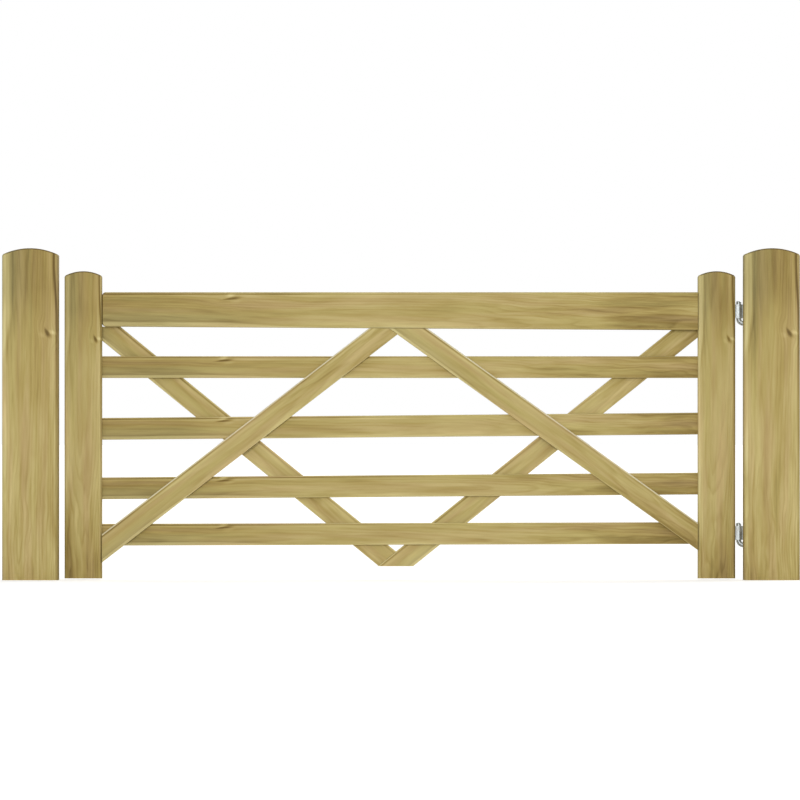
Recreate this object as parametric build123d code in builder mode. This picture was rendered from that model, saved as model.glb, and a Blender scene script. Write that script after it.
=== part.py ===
from build123d import *
import os

# Five-bar timber gate with its two posts, hung on hooks and bands.
# Millimetres. X runs along the closed gate, Y goes through it, Z is up.
# The front face looks along -Y. The origin is the middle of the hanging
# post's foot, at ground level, and the leaf reaches from there towards -X.

# Posts
post_size = 200.0
post_height = 1185.0
post_crown_rise = 23.0
post_arris = 22.0
post_top_chamfer = 4.0

# Leaf outline and the room around it
leaf_width = 2400.0
heel_gap = 28.0
head_gap = 20.0
ground_gap = 5.0

# Stiles, the two uprights of the leaf
stile_width = 134.0
stile_top = 1104.0
stile_crown_rise = 17.0
stile_arris = 14.0
stile_top_chamfer = 4.0

# Thickness of the three layers that the leaf is built from, front to back
front_brace_thickness = 25.0
rail_thickness = 25.0
back_brace_thickness = 25.0

# Top rail, a little deeper at the heel that carries the leaf
top_rail_upper_edge = 1029.0
top_rail_head_depth = 123.0
top_rail_heel_depth = 136.0
top_rail_arris = 9.0
top_rail_end_round = 14.0
top_tenon_thickness = 27.0
top_tenon_shoulder = 26.0

# Lower rails: the height of the underside at the head and at the heel
rail_depth = 78.0
rail_arris = 7.0
rail_tenon_shoulder = 8.0
second_rail_heights = (722.0, 722.0)
third_rail_heights = (501.0, 520.0)
fourth_rail_heights = (288.0, 305.0)
bottom_rail_heights = (122.0, 128.0)
tenon_clearance = 0.2

# Braces: two in front that rise to the top rail, two behind that fall from it
brace_width = 80.0
brace_arris = 5.0
front_foot_at_head = 62.0
front_foot_at_heel = 106.0
front_crotch_drop = 22.0
front_crotch_shift = 9.0
back_start_from_head = 65.0
back_start_from_heel = 94.0
back_crotch_height = 101.0
back_crotch_shift = 14.0
back_point_height = 48.0

# Hooks and bands, the hinges on the back of the gate
pin_diameter = 19.0
pin_clearance = 0.5
pin_stand = 62.0
pin_tip_chamfer = 3.0
hook_bend_radius = 17.0
hook_tail_reach = 70.0
hook_plate_width = 100.0
hook_plate_height = 110.0
hook_plate_thickness = 8.0
hook_plate_corner = 8.0
weld_depth = 1.5
band_thickness = 6.0
band_depth = 50.0
top_band_length = 610.0
bottom_band_length = 150.0
band_end_round = 20.0
band_seat_clearance = 0.3
bolt_hole = 11.0
plate_hole_inset = 18.0
band_heel_hole_inset = 28.0
band_tip_hole_inset = 30.0
top_band_holes = 4
bottom_band_holes = 2
bottom_band_height = 167.0

# Where things stand, worked out from the sizes above
post_face = post_size / 2
heel_edge = -post_face - heel_gap
head_edge = heel_edge - leaf_width
shutting_post_x = head_edge - head_gap - post_face
heel_shoulder = heel_edge - stile_width
head_shoulder = head_edge + stile_width
leaf_middle = (heel_edge + head_edge) / 2
leaf_thickness = front_brace_thickness + rail_thickness + back_brace_thickness

# The pin stands off the post by its plate and off the leaf by its band, so
# the two together say how far back the leaf hangs.
pin_axis_y = post_face + hook_plate_thickness + pin_diameter / 2 - weld_depth
eye_bore = pin_diameter / 2 + pin_clearance
leaf_back = pin_axis_y - eye_bore - band_thickness
leaf_front = leaf_back - leaf_thickness
rail_back = leaf_back - back_brace_thickness
rail_front = rail_back - rail_thickness
pin_axis_x = -post_face - heel_gap / 2
top_band_height = top_rail_upper_edge - top_rail_heel_depth / 2


def line_through(x1, z1, x2, z2):
    """Slope, and height at x = 0, of the straight line through two points."""
    slope = (z2 - z1) / (x2 - x1)
    return slope, z1 - slope * x1


def height_at(line, x):
    slope, height = line
    return slope * x + height


def meeting(first, second):
    """The point where two lines cross."""
    x = (second[1] - first[1]) / (first[0] - second[0])
    return x, height_at(first, x)


def raised(line, width):
    """The parallel line that lies the given width above, measured square."""
    slope, height = line
    return slope, height + width * (1 + slope**2) ** 0.5


# The three straight edges that the braces are cut to
underside = line_through(
    head_shoulder, top_rail_upper_edge - top_rail_head_depth,
    heel_shoulder, top_rail_upper_edge - top_rail_heel_depth,
)


def upright(left, right, front, back, foot, top, rise, arris, top_chamfer):
    """A square timber on end, its arrises rounded and its top cut to an arch."""
    with BuildPart() as timber:
        with BuildSketch(Plane.XZ.offset(-back)):
            with BuildLine():
                Polyline((left, top - rise), (left, foot), (right, foot), (right, top - rise))
                ThreePointArc((right, top - rise), ((left + right) / 2, top), (left, top - rise))
            make_face()
        extrude(amount=back - front)
        fillet(timber.edges().filter_by(Axis.Z), radius=arris)
        crown = timber.faces().filter_by(GeomType.CYLINDER).sort_by(Axis.Z)[-1]
        chamfer(crown.edges(), length=top_chamfer)
    return timber


def gate_post(centre_x):
    return upright(
        centre_x - post_face, centre_x + post_face, -post_face, post_face,
        0, post_height, post_crown_rise, post_arris, post_top_chamfer,
    )


hanging_post = gate_post(0)
shutting_post = gate_post(shutting_post_x)


# Each rail is given by its underside and its upper edge, as lines. Its tenons
# are level, and the mortices in the stiles are cut to them.
def rail_lines(heights):
    lower = line_through(head_shoulder, heights[0], heel_shoulder, heights[1])
    return lower, (lower[0], lower[1] + rail_depth)


rail_edges = [rail_lines(heights) for heights in (
    second_rail_heights, third_rail_heights, fourth_rail_heights, bottom_rail_heights,
)]
top_rail_edges = (underside, (0.0, top_rail_upper_edge))


def tenon_span(edges, shoulder_x, shoulder):
    """Lowest and highest level of the tenon at one end of a rail."""
    lower, upper = edges
    return height_at(lower, shoulder_x) + shoulder, height_at(upper, shoulder_x) - shoulder


def leaf_stile(outer_x, shoulder_x):
    left, right = sorted((outer_x, shoulder_x))
    stile = upright(
        left, right, leaf_front, leaf_back,
        ground_gap, stile_top, stile_crown_rise, stile_arris, stile_top_chamfer,
    )
    mortices = [(top_rail_edges, top_tenon_shoulder, top_tenon_thickness)]
    mortices += [(edges, rail_tenon_shoulder, rail_thickness) for edges in rail_edges]
    middle_y = (rail_front + rail_back) / 2
    with BuildPart() as morticed:
        add(stile.part)
        with BuildSketch(Plane.YZ.offset(left)):
            for edges, shoulder, thickness in mortices:
                low, high = tenon_span(edges, shoulder_x, shoulder)
                with Locations((middle_y, (low + high) / 2)):
                    Rectangle(thickness + 2 * tenon_clearance, high - low + 2 * tenon_clearance)
        extrude(amount=right - left, mode=Mode.SUBTRACT)
    return morticed


heel_stile = leaf_stile(heel_edge, heel_shoulder)
head_stile = leaf_stile(head_edge, head_shoulder)


def tenons(edges, shoulder, thickness):
    """Both tenons of a rail, through the stiles to their outer faces."""
    middle_y = (rail_front + rail_back) / 2
    for outer_x, shoulder_x in ((head_edge, head_shoulder), (heel_edge, heel_shoulder)):
        low, high = tenon_span(edges, shoulder_x, shoulder)
        with Locations(((outer_x + shoulder_x) / 2, middle_y, (low + high) / 2)):
            Box(stile_width, thickness, high - low)


def rail_corners(edges):
    """The four corners of a rail between the stiles, seen from the front."""
    lower, upper = edges
    return (
        (head_shoulder, height_at(lower, head_shoulder)),
        (heel_shoulder, height_at(lower, heel_shoulder)),
        (heel_shoulder, height_at(upper, heel_shoulder)),
        (head_shoulder, height_at(upper, head_shoulder)),
    )


with BuildPart() as top_rail:
    with BuildSketch(Plane.XZ.offset(-leaf_back)) as top_rail_side:
        with BuildLine():
            Polyline(*rail_corners(top_rail_edges), close=True)
        make_face()
        fillet(top_rail_side.vertices().group_by(Axis.X)[0], radius=top_rail_end_round)
    extrude(amount=leaf_thickness)
    fillet(top_rail.edges().sort_by(Edge.length)[-4:], radius=top_rail_arris)
    tenons(top_rail_edges, top_tenon_shoulder, top_tenon_thickness)


def lower_rail(edges):
    with BuildPart() as rail:
        with BuildSketch(Plane.XZ.offset(-rail_back)):
            with BuildLine():
                Polyline(*rail_corners(edges), close=True)
            make_face()
        extrude(amount=rail_thickness)
        fillet(rail.edges().sort_by(Edge.length)[-4:], radius=rail_arris)
        tenons(edges, rail_tenon_shoulder, rail_thickness)
    return rail


second_rail, third_rail, fourth_rail, bottom_rail = [lower_rail(edges) for edges in rail_edges]


def brace(corners, front, back):
    with BuildPart() as timber:
        with BuildSketch(Plane.XZ.offset(-back)):
            with BuildLine():
                Polyline(*corners, close=True)
            make_face()
        extrude(amount=back - front)
        fillet(timber.edges().sort_by(Edge.length)[-4:], radius=brace_arris)
    return timber


# The front braces rise from the feet of the stiles. The one from the heel
# runs on to the top rail, and the one from the head is cut to it.
crotch_x = leaf_middle - front_crotch_shift
crotch = (crotch_x, height_at(underside, crotch_x) - front_crotch_drop)
heel_lower = line_through(*crotch, heel_shoulder, front_foot_at_heel)
heel_upper = raised(heel_lower, brace_width)
head_lower = line_through(*crotch, head_shoulder, front_foot_at_head)
head_upper = raised(head_lower, brace_width)

heel_front_brace = brace(
    (
        (heel_shoulder, height_at(heel_lower, heel_shoulder)),
        (heel_shoulder, height_at(heel_upper, heel_shoulder)),
        meeting(heel_upper, underside),
        meeting(heel_lower, underside),
    ),
    leaf_front, rail_front,
)
head_front_brace = brace(
    (
        (head_shoulder, height_at(head_lower, head_shoulder)),
        crotch,
        meeting(heel_lower, underside),
        meeting(head_upper, underside),
        (head_shoulder, height_at(head_upper, head_shoulder)),
    ),
    leaf_front, rail_front,
)

# The back braces fall from the top corners to a point below the bottom rail,
# cut off level. The one from the heel runs on, and the other is cut to it.
back_crotch = (leaf_middle - back_crotch_shift, back_crotch_height)
heel_start = heel_shoulder - back_start_from_heel
head_start = head_shoulder + back_start_from_head
heel_back_upper = line_through(*back_crotch, heel_start, height_at(underside, heel_start))
heel_back_lower = raised(heel_back_upper, -brace_width)
head_back_upper = line_through(*back_crotch, head_start, height_at(underside, head_start))
head_back_lower = raised(head_back_upper, -brace_width)
cut_level = (0.0, back_point_height)

heel_back_brace = brace(
    (
        meeting(heel_back_upper, underside),
        meeting(heel_back_upper, cut_level),
        meeting(heel_back_lower, cut_level),
        (heel_shoulder, height_at(heel_back_lower, heel_shoulder)),
        (heel_shoulder, height_at(underside, heel_shoulder)),
    ),
    rail_back, leaf_back,
)
head_back_brace = brace(
    (
        meeting(head_back_upper, underside),
        (head_shoulder, height_at(underside, head_shoulder)),
        (head_shoulder, height_at(head_back_lower, head_shoulder)),
        meeting(head_back_lower, heel_back_upper),
        back_crotch,
    ),
    rail_back, leaf_back,
)


def hook(eye_height):
    """A plate for the post's back face, with a bent round bar welded to it.

    The bar's upright end is the pin. The bend's top carries the eye."""
    seat = eye_height - band_depth / 2 - band_seat_clearance
    tail_height = seat - hook_bend_radius
    plate_left = -post_face + post_arris
    plate_middle = plate_left + hook_plate_width / 2
    tail_end = plate_left + hook_tail_reach
    with BuildPart() as ironwork:
        with BuildSketch(Plane.XZ.offset(-post_face)):
            with Locations((plate_middle, tail_height)):
                RectangleRounded(hook_plate_width, hook_plate_height, hook_plate_corner)
                with GridLocations(
                    hook_plate_width - 2 * plate_hole_inset,
                    hook_plate_height - 2 * plate_hole_inset, 2, 2,
                ):
                    Circle(bolt_hole / 2, mode=Mode.SUBTRACT)
        extrude(amount=-hook_plate_thickness)
        with BuildLine() as bar:
            FilletPolyline(
                (tail_end, pin_axis_y, tail_height),
                (pin_axis_x, pin_axis_y, tail_height),
                (pin_axis_x, pin_axis_y, seat + pin_stand),
                radius=hook_bend_radius,
            )
        with BuildSketch(Plane(origin=(tail_end, pin_axis_y, tail_height), z_dir=(-1, 0, 0))):
            Circle(pin_diameter / 2)
        sweep(path=bar.line)
        tip = ironwork.faces().filter_by(Axis.Z).sort_by(Axis.Z)[-1]
        chamfer(tip.edges(), length=pin_tip_chamfer)
    return ironwork


top_hook = hook(top_band_height)
bottom_hook = hook(bottom_band_height)


def band(eye_height, length, hole_count):
    """A flat strap for the leaf's back face, its end rolled round into an eye."""
    strap_end = pin_axis_x - length
    eye_radius = eye_bore + band_thickness
    low = eye_height - band_depth / 2
    first_hole = heel_edge - band_heel_hole_inset
    last_hole = strap_end + band_tip_hole_inset
    hole_pitch = (first_hole - last_hole) / (hole_count - 1)
    with BuildPart() as ironwork:
        with BuildSketch(Plane.XY.offset(low)):
            with Locations((pin_axis_x, pin_axis_y)):
                Circle(eye_radius)
            with Locations(((strap_end + pin_axis_x) / 2, leaf_back + band_thickness / 2)):
                Rectangle(length, band_thickness)
            with Locations((pin_axis_x, pin_axis_y)):
                Circle(eye_bore, mode=Mode.SUBTRACT)
        extrude(amount=band_depth)
        corners = ironwork.edges().filter_by(Axis.Y).group_by(Axis.X)[0]
        fillet(corners, radius=band_end_round)
        with BuildSketch(Plane.XZ.offset(-leaf_back)):
            for index in range(hole_count):
                with Locations((first_hole - index * hole_pitch, eye_height)):
                    Circle(bolt_hole / 2)
        extrude(amount=-band_thickness, mode=Mode.SUBTRACT)
    return ironwork


top_band = band(top_band_height, top_band_length, top_band_holes)
bottom_band = band(bottom_band_height, bottom_band_length, bottom_band_holes)

pieces = {
    "hanging_post": hanging_post,
    "shutting_post": shutting_post,
    "heel_stile": heel_stile,
    "head_stile": head_stile,
    "top_rail": top_rail,
    "second_rail": second_rail,
    "third_rail": third_rail,
    "fourth_rail": fourth_rail,
    "bottom_rail": bottom_rail,
    "heel_front_brace": heel_front_brace,
    "head_front_brace": head_front_brace,
    "heel_back_brace": heel_back_brace,
    "head_back_brace": head_back_brace,
    "top_hook": top_hook,
    "bottom_hook": bottom_hook,
    "top_band": top_band,
    "bottom_band": bottom_band,
}

os.makedirs("parts", exist_ok=True)
for name, piece in pieces.items():
    piece.part.label = name
    export_step(piece.part, f"parts/{name}.step")
print("hinge pin at", round(pin_axis_x, 2), round(pin_axis_y, 2))
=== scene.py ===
# %% [markdown]
# # A timber field gate between two posts
# The gate is built already: every timber, hook and band comes in as a fixed
# frame, at its real size, in metres. This lesson dresses it. We set up a white
# studio, make a pine that has real growth rings inside it, galvanise the
# hinges, and model the small ironmongery that holds it all together.

# %% Load the frame
import math

import bpy
import numpy as np
from mathutils import Matrix, Vector


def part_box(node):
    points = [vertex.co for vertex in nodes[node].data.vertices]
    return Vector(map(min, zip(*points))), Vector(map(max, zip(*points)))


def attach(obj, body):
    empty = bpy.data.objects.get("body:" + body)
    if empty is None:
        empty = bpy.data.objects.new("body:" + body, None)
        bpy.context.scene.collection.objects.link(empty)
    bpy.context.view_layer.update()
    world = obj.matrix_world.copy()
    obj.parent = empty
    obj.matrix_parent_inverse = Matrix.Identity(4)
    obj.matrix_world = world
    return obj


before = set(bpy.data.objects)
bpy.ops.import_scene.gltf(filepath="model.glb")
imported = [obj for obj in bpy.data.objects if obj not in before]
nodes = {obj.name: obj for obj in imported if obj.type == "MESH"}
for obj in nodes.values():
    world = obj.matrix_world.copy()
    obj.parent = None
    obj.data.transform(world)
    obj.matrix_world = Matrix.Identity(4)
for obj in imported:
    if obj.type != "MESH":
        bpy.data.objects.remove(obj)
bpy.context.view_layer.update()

# %% [markdown]
# ## Three small helpers
# A colour picker shows sRGB, but a shader wants linear light, so one function
# turns a hex value into linear numbers. A second adds a node, sets it and links
# it in one call. The third clears the selection: an operator works on whatever
# is selected, and the frame arrives with all its pieces selected.

# %% Helpers
MM = 0.001


def linear(hex_colour):
    """An sRGB hex colour as the linear RGBA of a colour socket."""
    channels = [int(hex_colour[i:i + 2], 16) / 255 for i in (1, 3, 5)]
    return [c / 12.92 if c <= 0.04045 else ((c + 0.055) / 1.055) ** 2.4 for c in channels] + [1.0]


def node(tree, kind, inputs=None, stops=None, **settings):
    """Add a node, set it, fill or link its inputs, and give a ramp its stops."""
    made = tree.nodes.new("ShaderNode" + kind)
    for name, value in settings.items():
        setattr(made, name, value)
    for socket, value in (inputs or {}).items():
        if isinstance(value, bpy.types.Node):  # it stands for its first output
            value = value.outputs[0]
        if isinstance(value, bpy.types.NodeSocket):
            tree.links.new(value, made.inputs[socket])
        else:
            made.inputs[socket].default_value = value
    if stops:
        while len(made.color_ramp.elements) < len(stops):
            made.color_ramp.elements.new(1.0)
        for element, (place, shade) in zip(made.color_ramp.elements, stops.items()):
            element.position = place
            element.color = linear(shade) if isinstance(shade, str) else [shade] * 3 + [1.0]
    return made


def deselect():
    bpy.ops.object.select_all(action="DESELECT")


deselect()
print("pieces in the frame:", len(nodes))

# %% [markdown]
# ## The camera
# The picture is taken square on, from far away, so nothing gets smaller with
# distance. A very long lens does that and stays a real lens. It is aimed at the
# point that the middle of the picture shows, level with it, and its distance
# follows from how much the picture's width covers at the gate.

# %% Camera
PICTURE_PIXELS = 800
MM_PER_PIXEL = 3.574
PICTURE_WIDTH = PICTURE_PIXELS * MM_PER_PIXEL * MM
PICTURE_MIDDLE = Vector((-1.3277, -0.02, 0.6433))
SENSOR = 36.0
LENS = 600.0
SEES_BEYOND = 4  # times the distance to the gate, so that the floor behind it shows

camera_data = bpy.data.cameras.new("camera")
camera_data.sensor_width = SENSOR
camera_data.lens = LENS
camera = bpy.data.objects.new("camera", camera_data)
bpy.context.scene.collection.objects.link(camera)
camera_distance = PICTURE_WIDTH * LENS / SENSOR
camera.location = PICTURE_MIDDLE - Vector((0, camera_distance, 0))
camera.rotation_euler = (math.radians(90), 0, 0)
camera_data.clip_end = SEES_BEYOND * camera_distance
bpy.context.scene.camera = camera
print("the camera stands", round(camera_distance, 1), "metres away")

# %% [markdown]
# ## A white studio
# The background of the picture is pure white, but more lamp light would only
# bleach the timber. So the world shows white to the camera and to reflections,
# and gives the timber a much softer light. The floor is an ordinary pale floor
# that gets a little glow added for the camera's rays alone: it turns white
# where it is lit and still keeps the gate's soft shadow.

# %% The white world
scene = bpy.context.scene
scene.view_settings.view_transform = "Standard"
SKY_STRENGTH = 0.42


def seen_directly(tree):
    """1 for rays of the camera, of reflections and through glass, else 0."""
    path = node(tree, "LightPath")
    either = node(tree, "Math", {
        0: path.outputs["Is Camera Ray"], 1: path.outputs["Is Glossy Ray"],
    }, operation="MAXIMUM")
    return node(tree, "Math", {0: either, 1: path.outputs["Is Transmission Ray"]}, operation="MAXIMUM")


world = bpy.data.worlds.new("white_studio")
scene.world = world
world.use_nodes = True
world.node_tree.nodes.clear()
soft_sky = node(world.node_tree, "Background", {"Color": linear("#f7f9fc"), "Strength": SKY_STRENGTH})
white_sky = node(world.node_tree, "Background", {"Color": linear("#ffffff"), "Strength": 1.0})
sky = node(world.node_tree, "MixShader", {0: seen_directly(world.node_tree), 1: soft_sky, 2: white_sky})
node(world.node_tree, "OutputWorld", {"Surface": sky})
print("the sky lights the gate with strength", SKY_STRENGTH)

# %% The pale floor
FLOOR_GLOW = 0.5
FLOOR_SIZE = 400.0  # metres, to reach beyond what the lens sees

deselect()
bpy.ops.mesh.primitive_plane_add(size=FLOOR_SIZE, location=(PICTURE_MIDDLE.x, 0, 0))
floor = bpy.context.active_object
floor.name = "floor"
floor_paint = bpy.data.materials.new("pale_floor_paint")
floor_paint.use_nodes = True
tree = floor_paint.node_tree
tree.nodes.clear()
# A matt wall paint, rolled on: it gives the eye an even, off-white ground.
matt = node(tree, "BsdfDiffuse", {"Color": linear("#eceae6")})
glow_strength = node(tree, "Math", {0: seen_directly(tree), 1: FLOOR_GLOW}, operation="MULTIPLY")
glow = node(tree, "Emission", {"Strength": glow_strength})
lit = node(tree, "AddShader", {0: matt, 1: glow})
node(tree, "OutputMaterial", {"Surface": lit})
floor.data.materials.append(floor_paint)
print("a floor of", FLOOR_SIZE, "metres that glows with strength", FLOOR_GLOW)

# %% [markdown]
# ## Four soft lamps
# The fronts of the timbers are lit evenly and their rounded edges only a little
# less, so the main lamp stands almost beside the camera. Two weak, wide lamps
# fill in from the sides. The last one shines from behind and above: it is there
# for whoever walks round the gate and looks at its hinges.

# %% Lamps
LAMPS = (  # name, the way its light goes, strength, width in degrees
    ("key_beside_the_camera", (0.06, 0.99, -0.12), 1.4, 15),
    ("fill_from_the_left", (0.45, 0.75, -0.45), 0.3, 60),
    ("fill_from_the_right", (-0.45, 0.8, -0.3), 0.3, 60),
    ("fill_from_behind", (-0.35, -0.75, -0.55), 1.7, 45),
)
for name, towards, strength, softness in LAMPS:
    lamp_data = bpy.data.lights.new(name, "SUN")
    lamp_data.energy = strength
    lamp_data.angle = math.radians(softness)
    lamp = bpy.data.objects.new(name, lamp_data)
    lamp.rotation_euler = Vector(towards).to_track_quat("-Z", "Y").to_euler()
    scene.collection.objects.link(lamp)
    print(name, "with strength", strength)

# %% [markdown]
# ## Where each timber lies
# Wood looks right only if its grain runs along each piece. A timber's longest
# edges show which way it runs, so we read the lean from the mesh, and then the
# piece's length, thickness and width in its own directions. An upright is
# measured from its top down.

# %% Measure the timbers
POST_NAMES = ["hanging_post", "shutting_post"]
STILE_NAMES = ["heel_stile", "head_stile"]
RAIL_NAMES = ["top_rail", "second_rail", "third_rail", "fourth_rail", "bottom_rail"]
FRONT_BRACES = ["heel_front_brace", "head_front_brace"]
BACK_BRACES = ["heel_back_brace", "head_back_brace"]
TIMBERS = POST_NAMES + STILE_NAMES + RAIL_NAMES + FRONT_BRACES + BACK_BRACES
UPRIGHT_LEAN = -90.0
EDGES_COMPARED = 40


def lean_of(piece):
    """The angle of a timber's run, in degrees up from the X axis."""
    mesh = piece.data
    points = np.array([vertex.co for vertex in mesh.vertices])
    ends = np.array([edge.vertices[:] for edge in mesh.edges])
    runs = points[ends[:, 1]] - points[ends[:, 0]]
    longest = runs[np.argsort(np.linalg.norm(runs, axis=1))[-EDGES_COMPARED:]]
    lean = float(np.median(np.degrees(np.arctan2(longest[:, 2], longest[:, 0])) % 180))
    return lean - 180 if lean > 90 else lean


def measure(name):
    """Lean, lowest corner and size of a timber, in its own directions."""
    lean = UPRIGHT_LEAN if name in POST_NAMES + STILE_NAMES else lean_of(nodes[name])
    turn = Matrix.Rotation(math.radians(lean), 3, "Y")
    own = np.array([turn @ vertex.co for vertex in nodes[name].data.vertices])
    low, high = own.min(axis=0), own.max(axis=0)
    return {"lean": lean, "low": Vector(low), "size": Vector(high - low)}


timbers = {name: measure(name) for name in TIMBERS}
for name, facts in timbers.items():
    print(name, round(facts["lean"], 2), [round(side / MM) for side in facts["size"]])

# %% [markdown]
# ## Pine that grows inside the timber
# A plank is a slice of a tree, so its pattern is not painted on the faces but
# runs through it: rings round a pith that lies outside the slice, broad bands of
# slower and faster growth, and fibres along the run. We describe that solid once
# in a node group. It works in millimetres, measured along, through and across
# the timber, so the pattern keeps its true size on a post and on a thin rail.
#
# We start with a knot, the foot of a branch. It gets a group of its own, which
# sees it as an egg round a point in the timber and measures everything in units
# of the egg's size. A bit of noise makes its outline ragged.

# %% A knot's own place
KNOT_DEPTH = 42.0  # mm from the knot's middle to its end inside the timber
RAGGED = 0.5  # how far the outline wanders, as a share of the knot's size


def new_group(name, inputs, outputs):
    """An empty node group with the named sockets, and its two end nodes."""
    group = bpy.data.node_groups.new(name, "ShaderNodeTree")
    for socket, kind in inputs.items():
        group.interface.new_socket(socket, in_out="INPUT", socket_type="NodeSocket" + kind)
    for socket, kind in outputs.items():
        group.interface.new_socket(socket, in_out="OUTPUT", socket_type="NodeSocket" + kind)
    return group, group.nodes.new("NodeGroupInput").outputs, group.nodes.new("NodeGroupOutput").inputs


knot_group, given, result = new_group(
    "grain_round_a_knot",
    {"Position": "Vector", "Knot": "Vector", "Size": "Vector"},
    {"Bend": "Vector", "Knot wood": "Float", "Pale side": "Float"},
)
away = node(knot_group, "VectorMath", {0: given["Position"], 1: given["Knot"]}, operation="SUBTRACT")
off = node(knot_group, "SeparateXYZ", {0: away})
# Size holds the knot's half length, its slope and its half width.
half = node(knot_group, "SeparateXYZ", {0: given["Size"]})
rise = node(knot_group, "Math", {0: off.outputs["X"], 1: half.outputs["Y"]}, operation="MULTIPLY")
above = node(knot_group, "Math", {0: off.outputs["Z"], 1: rise}, operation="SUBTRACT")
knot_along = node(knot_group, "Math", {0: off.outputs["X"], 1: half.outputs["X"]}, operation="DIVIDE")
knot_across = node(knot_group, "Math", {0: above, 1: half.outputs["Z"]}, operation="DIVIDE")
knot_deep = node(knot_group, "Math", {0: off.outputs["Y"], 1: KNOT_DEPTH}, operation="DIVIDE")
oval = node(knot_group, "CombineXYZ", {0: knot_along, 1: knot_deep, 2: knot_across})
ripple = node(knot_group, "TexNoise", {"Vector": oval, "Scale": 1.6, "Detail": 2.0})
rippled = node(knot_group, "VectorMath", {
    0: ripple.outputs["Color"], 1: (RAGGED, 0.0, RAGGED), 2: oval,
}, operation="MULTIPLY_ADD")
ragged = node(knot_group, "VectorMath", {
    0: rippled, 1: (RAGGED / 2, 0.0, RAGGED / 2),
}, operation="SUBTRACT")
print("a knot is", 2 * KNOT_DEPTH, "mm deep")

# %% [markdown]
# ## The dark branch and the pale wood beside it
# The saw seldom cuts a branch square. It leaves a slanted drop, pointed at one
# end, and on either side a pale flame where the wood that grew over the branch
# was cut almost end on. The drop is the egg with its upper end squeezed, and
# the flames are two smaller eggs that lie beside it.

# %% The dark branch
THIN_END = 2.0  # how many times thinner the upper end is than the lower one
PALE_FLAMES = (  # middle and half sizes, in knot sizes, and how strong it is
    ((-0.1, 0.0, 1.85), (0.5, 1.0, 1.0), 1.0),
    ((0.45, 0.0, -2.0), (0.6, 1.0, 1.0), 0.4),
)

thinness = node(knot_group, "MapRange", {
    "Value": knot_along,
    "From Min": -1.0, "From Max": 0.5, "To Min": THIN_END, "To Max": 1.0,
})
stretch = node(knot_group, "CombineXYZ", {0: 1.0, 1: 1.0, 2: thinness})
pointed = node(knot_group, "VectorMath", {0: ragged, 1: stretch}, operation="MULTIPLY")
reach = node(knot_group, "VectorMath", {0: pointed}, operation="LENGTH")
knot_wood = node(knot_group, "MapRange", {
    "Value": reach.outputs["Value"], "From Min": 1.5, "From Max": 0.15,
}, interpolation_type="SMOOTHSTEP")

pale_side = 0.0
for middle, half_sizes, strength in PALE_FLAMES:
    beside = node(knot_group, "VectorMath", {0: ragged, 1: middle}, operation="SUBTRACT")
    rounded = node(knot_group, "VectorMath", {
        0: beside, 1: [1 / side for side in half_sizes],
    }, operation="MULTIPLY")
    distance = node(knot_group, "VectorMath", {0: rounded}, operation="LENGTH")
    flame = node(knot_group, "MapRange", {
        "Value": distance.outputs["Value"], "From Min": 1.5, "From Max": 0.2, "To Max": strength,
    }, interpolation_type="SMOOTHSTEP")
    pale_side = node(knot_group, "Math", {0: flame, 1: pale_side}, operation="ADD")
print("a knot has", len(PALE_FLAMES), "pale flames beside it")

# %% [markdown]
# ## The grain makes way
# Fibres part round a branch as water does round a stone. So near a knot the
# place that all later patterns look up is pulled towards the knot's middle,
# through and across the grain but not along it. The pull fades out smoothly.

# %% The grain makes way
PULL = (0.0, -0.3, -0.45)

round_oval = node(knot_group, "VectorMath", {0: oval}, operation="LENGTH")
halo = node(knot_group, "MapRange", {
    "Value": round_oval.outputs["Value"], "From Min": 4.5, "From Max": 0.9,
}, interpolation_type="SMOOTHSTEP")
pulled = node(knot_group, "VectorMath", {0: away, 1: PULL}, operation="MULTIPLY")
bend = node(knot_group, "VectorMath", {0: pulled, "Scale": halo}, operation="SCALE")
knot_group.links.new(bend.outputs[0], result["Bend"])
knot_group.links.new(knot_wood.outputs[0], result["Knot wood"])
knot_group.links.new(pale_side.outputs[0], result["Pale side"])
print("the knot group has", len(knot_group.nodes), "nodes")

# %% [markdown]
# ## From tree to tone
# Every part of the pattern is first a plain number between 0 and 1: how late in
# the year this bit of ring grew, how dense its band is, how near it lies to a
# sawn edge. Added up they make one tone, and only at the end a colour ramp turns
# the tone into the yellow olive of treated pine. Roughness and relief use the
# same numbers, so what looks darker also feels different.
#
# The group is told where it is and which way the face looks, and what sets its
# timber apart. Its first number is how far along the shown length a point lies.

# %% The pine node group
VECTORS = ("Position", "Facing", "Pith", "First knot", "Second knot", "Knot size")
NUMBERS = (
    "Shown from", "Shown length", "Width", "Widens", "Pale edge", "Far edge", "Line drifts",
    "Edges fade to", "Upper rim", "Start darkens", "End darkens", "End from", "End to",
    "Saw marks", "Tone", "Seed",
)
pine, given, result = new_group(
    "treated_pine",
    {**dict.fromkeys(VECTORS, "Vector"), **dict.fromkeys(NUMBERS, "Float")},
    {"Color": "Color", "Roughness": "Float", "Height": "Float"},
)
start = given["Position"]
place = node(pine, "SeparateXYZ", {0: start})
shown = node(pine, "Math", {0: place.outputs["X"], 1: given["Shown from"]}, operation="SUBTRACT")
share = node(pine, "Math", {0: shown, 1: given["Shown length"]}, operation="DIVIDE")
print("the pine group takes", len(VECTORS), "vectors and", len(NUMBERS), "numbers")

# %% [markdown]
# ## The grain wanders
# A trunk is never quite straight, so the grain drifts sideways by some 2 cm in
# slow waves. Towards the top of the tree, which is the far end here, branches
# stir it up, and faster waves are added. Then the knots bend it.

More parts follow.
